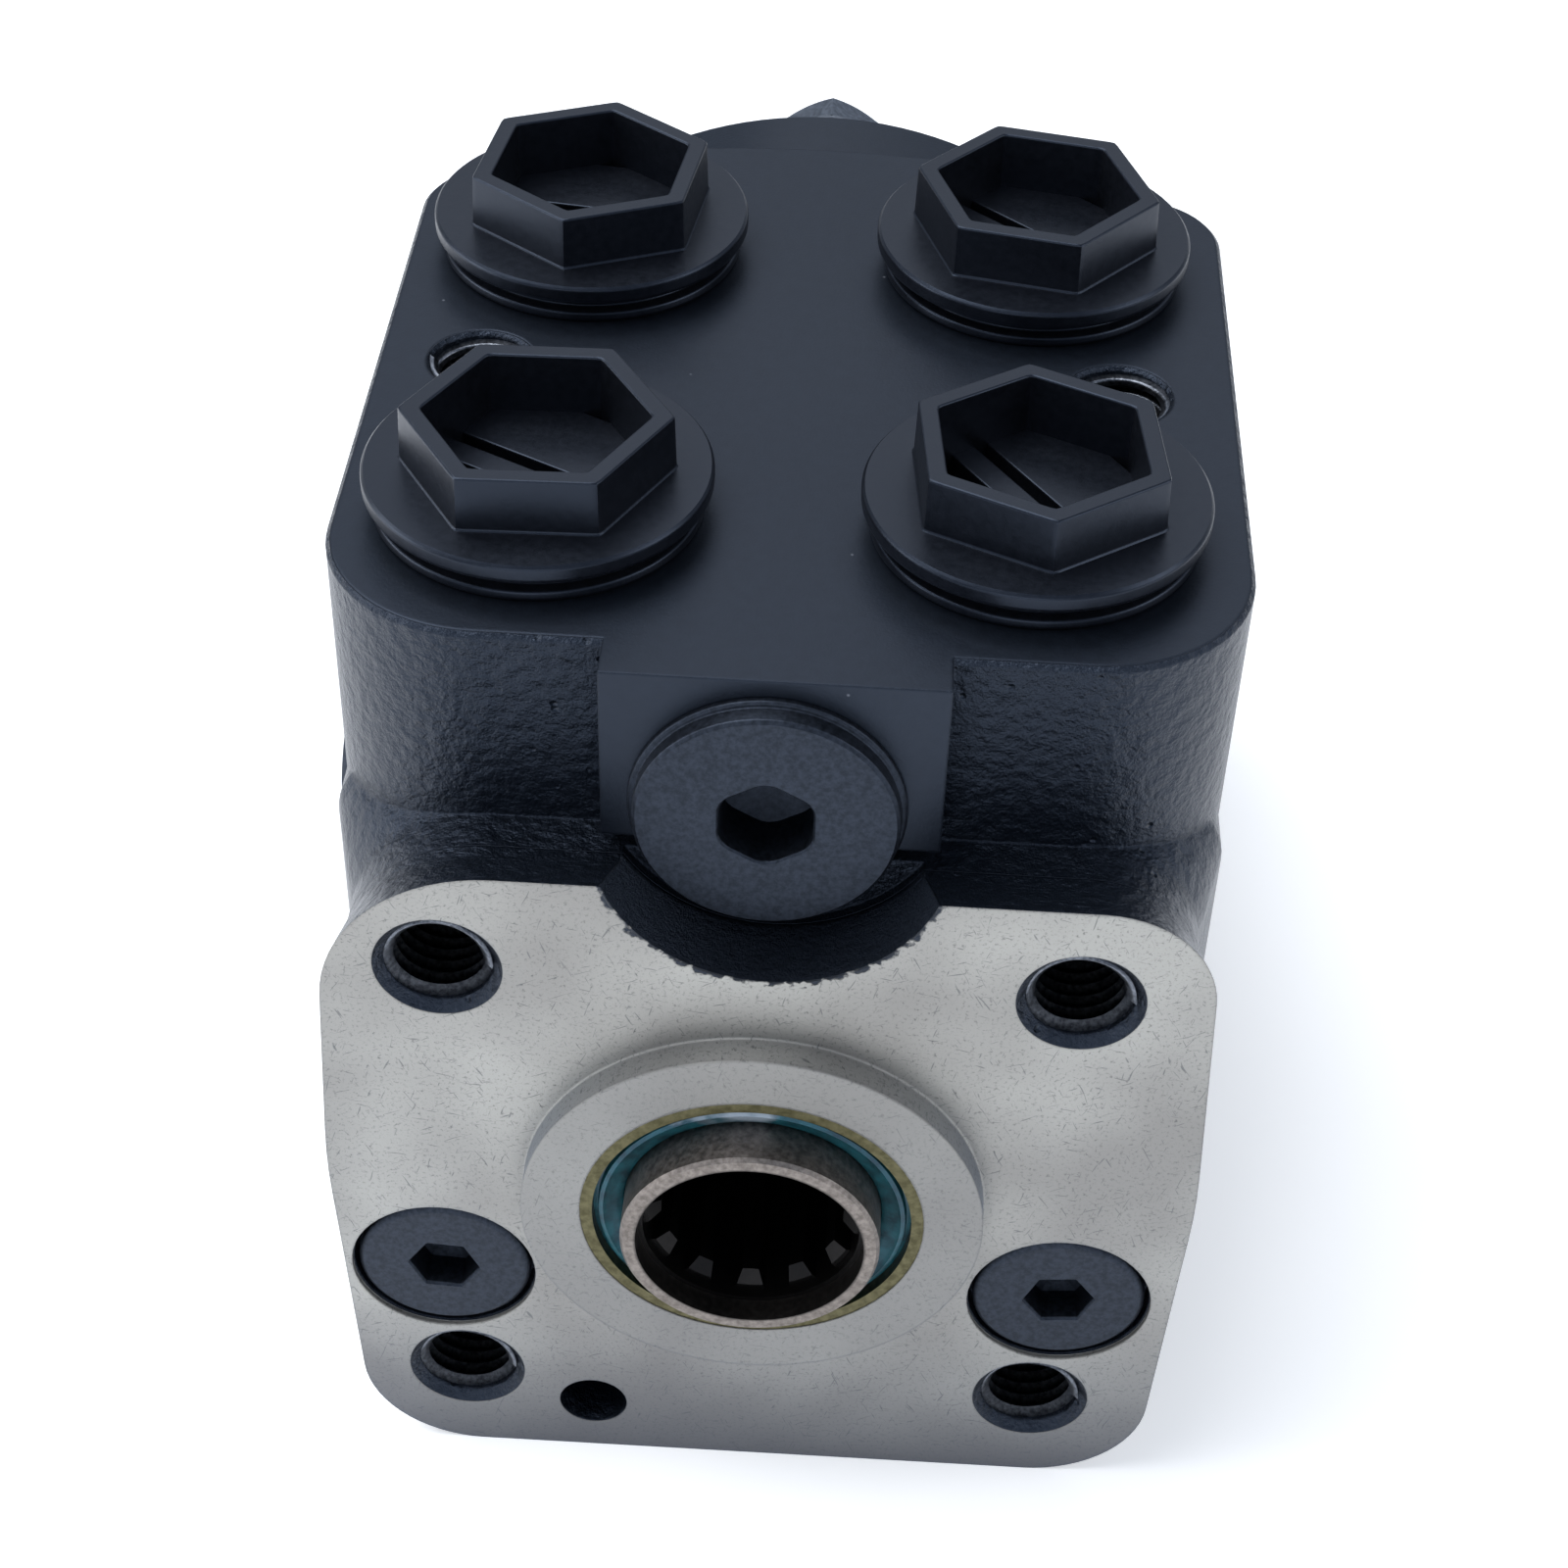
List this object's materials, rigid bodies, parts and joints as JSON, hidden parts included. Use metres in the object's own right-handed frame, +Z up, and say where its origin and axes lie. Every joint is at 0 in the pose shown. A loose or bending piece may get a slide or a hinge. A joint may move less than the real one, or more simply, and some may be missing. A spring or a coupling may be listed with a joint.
{
  "type": "orbital hydraulic steering unit",
  "caption": "Hydraulic steering unit: a ported housing with a splined spool at its flange and an orbiting gear set bolted to its rear.",
  "frame": {"origin": "where the shaft's axis meets the mounting face", "axes": "+Y along the shaft away from the steering column, +Z up towards the port face, +X to the right as seen from the column"},
  "size_m": [0.09, 0.147, 0.1135],
  "materials": {
    "blue_black_paint": "satin paint over an iron casting, orange-peel on the raw walls, smooth on the machined port face",
    "phosphated_steel": "dark blue-black phosphated, satin",
    "bright_steel": "ground and lapped, bright",
    "hardened_steel": "polished",
    "spring_steel": "blued spring steel, satin",
    "zinc_plate": "clear zinc plated, satin",
    "olive_plate": "yellow-olive chromated zinc, satin",
    "teal_rubber": "matte",
    "black_rubber": "matte",
    "black_plastic": "moulded, satin"
  },
  "bodies": {
    "housing": {"housing": "blue_black_paint", "end_cover": "blue_black_paint", "gear_ring": "blue_black_paint", "distributor_plate": "blue_black_paint", "dust_seal_case": "olive_plate", "dust_seal": "teal_rubber", "shaft_seal": "teal_rubber", "shaft_seal_o_ring": "black_rubber", "o_ring_housing": "black_rubber", "o_ring_plate": "black_rubber", "o_ring_cover": "black_rubber", "relief_seal_ring": "black_rubber", "left_shock_seal_ring": "black_rubber", "right_shock_seal_ring": "black_rubber", "side_plug_seal": "black_rubber", "bearing_outer_race": "hardened_steel", "cover_bolts": "zinc_plate", "special_bolt": "zinc_plate", "bolt_washers": "zinc_plate", "relief_plug": "phosphated_steel", "relief_adjuster": "bright_steel", "relief_seat": "bright_steel", "relief_spring": "spring_steel", "check_valve_bush": "bright_steel", "side_plug": "phosphated_steel", "left_shock_plug": "phosphated_steel", "left_shock_seat": "bright_steel", "left_shock_spring": "spring_steel", "left_suction_pin": "spring_steel", "right_shock_plug": "phosphated_steel", "right_shock_seat": "bright_steel", "right_shock_spring": "spring_steel", "right_suction_pin": "spring_steel"},
    "sleeve": {"sleeve": "bright_steel", "cross_pin": "hardened_steel", "leaf_springs": "spring_steel", "spring_ring": "spring_steel", "bearing_inner_race": "hardened_steel"},
    "spool": {"spool": "bright_steel"},
    "needle_cage": {"bearing_cage": "bright_steel", "bearing_needles": "hardened_steel"},
    "orbit": {"spacer": "bright_steel"},
    "rotor": {"rotor": "bright_steel"},
    "cardan": {"cardan_shaft": "bright_steel"},
    "relief_poppet": {"relief_poppet": "hardened_steel"},
    "left_shock_valve": {"left_shock_ball": "hardened_steel", "left_shock_spring_guide": "bright_steel"},
    "right_shock_valve": {"right_shock_ball": "hardened_steel", "right_shock_spring_guide": "bright_steel"},
    "check_ball": {"check_valve_ball": "hardened_steel"},
    "left_suction_ball": {"left_suction_ball": "hardened_steel"},
    "right_suction_ball": {"right_suction_ball": "hardened_steel"},
    "front_left_cap": {"front_left_port_cap": "black_plastic"},
    "front_right_cap": {"front_right_port_cap": "black_plastic"},
    "rear_left_cap": {"rear_left_port_cap": "black_plastic"},
    "rear_right_cap": {"rear_right_port_cap": "black_plastic"}
  },
  "joints": [
    {"name": "sleeve_turn", "type": "hinge", "parent": "housing", "child": "sleeve", "pos_m": [0, 0, 0], "axis": [0, 1, 0], "continuous": true},
    {"name": "spool_turn", "type": "hinge", "parent": "sleeve", "child": "spool", "pos_m": [0, 0, 0], "axis": [0, 1, 0], "range_deg": [-10, 10], "stiffness_Nm_per_rad": 8},
    {"name": "needle_cage_turn", "type": "hinge", "parent": "housing", "child": "needle_cage", "pos_m": [0, 0, 0], "axis": [0, 1, 0], "continuous": true},
    {"name": "rotor_orbit", "type": "hinge", "parent": "housing", "child": "orbit", "pos_m": [0, 0, 0], "axis": [0, 1, 0], "continuous": true},
    {"name": "rotor_turn", "type": "hinge", "parent": "orbit", "child": "rotor", "pos_m": [0, 0.1146, 0.0025], "axis": [0, 1, 0], "continuous": true},
    {"name": "cardan_turn", "type": "hinge", "parent": "orbit", "child": "cardan", "pos_m": [0, 0.045, 0], "axis": [0, 0.9994, 0.0359], "continuous": true},
    {"name": "relief_poppet_lift", "type": "slide", "parent": "housing", "child": "relief_poppet", "axis": [0, -1, 0], "range_m": [0, 0.002], "stiffness_N_per_m": 200, "deforming": ["relief_spring"]},
    {"name": "left_shock_lift", "type": "slide", "parent": "housing", "child": "left_shock_valve", "axis": [0, -1, 0], "range_m": [0, 0.0015], "stiffness_N_per_m": 150, "deforming": ["left_shock_spring"]},
    {"name": "right_shock_lift", "type": "slide", "parent": "housing", "child": "right_shock_valve", "axis": [0, -1, 0], "range_m": [0, 0.0015], "stiffness_N_per_m": 150, "deforming": ["right_shock_spring"]},
    {"name": "check_ball_lift", "type": "slide", "parent": "housing", "child": "check_ball", "axis": [0, 0, 1], "range_m": [0, 0.002]},
    {"name": "left_suction_lift", "type": "slide", "parent": "housing", "child": "left_suction_ball", "axis": [0, 1, 0], "range_m": [0, 0.0015]},
    {"name": "right_suction_lift", "type": "slide", "parent": "housing", "child": "right_suction_ball", "axis": [0, 1, 0], "range_m": [0, 0.0015]},
    {"name": "front_left_cap_lift", "type": "slide", "parent": "housing", "child": "front_left_cap", "axis": [0, 0, 1], "range_m": [0, 0.03]},
    {"name": "front_right_cap_lift", "type": "slide", "parent": "housing", "child": "front_right_cap", "axis": [0, 0, 1], "range_m": [0, 0.03]},
    {"name": "rear_left_cap_lift", "type": "slide", "parent": "housing", "child": "rear_left_cap", "axis": [0, 0, 1], "range_m": [0, 0.03]},
    {"name": "rear_right_cap_lift", "type": "slide", "parent": "housing", "child": "rear_right_cap", "axis": [0, 0, 1], "range_m": [0, 0.03]}
  ],
  "couplings": [
    {"joint": "needle_cage_turn", "follows": "sleeve_turn", "ratio": 0.5},
    {"joint": "rotor_orbit", "follows": "sleeve_turn", "ratio": -6},
    {"joint": "rotor_turn", "follows": "sleeve_turn", "ratio": 7},
    {"joint": "cardan_turn", "follows": "sleeve_turn", "ratio": 7}
  ]
}
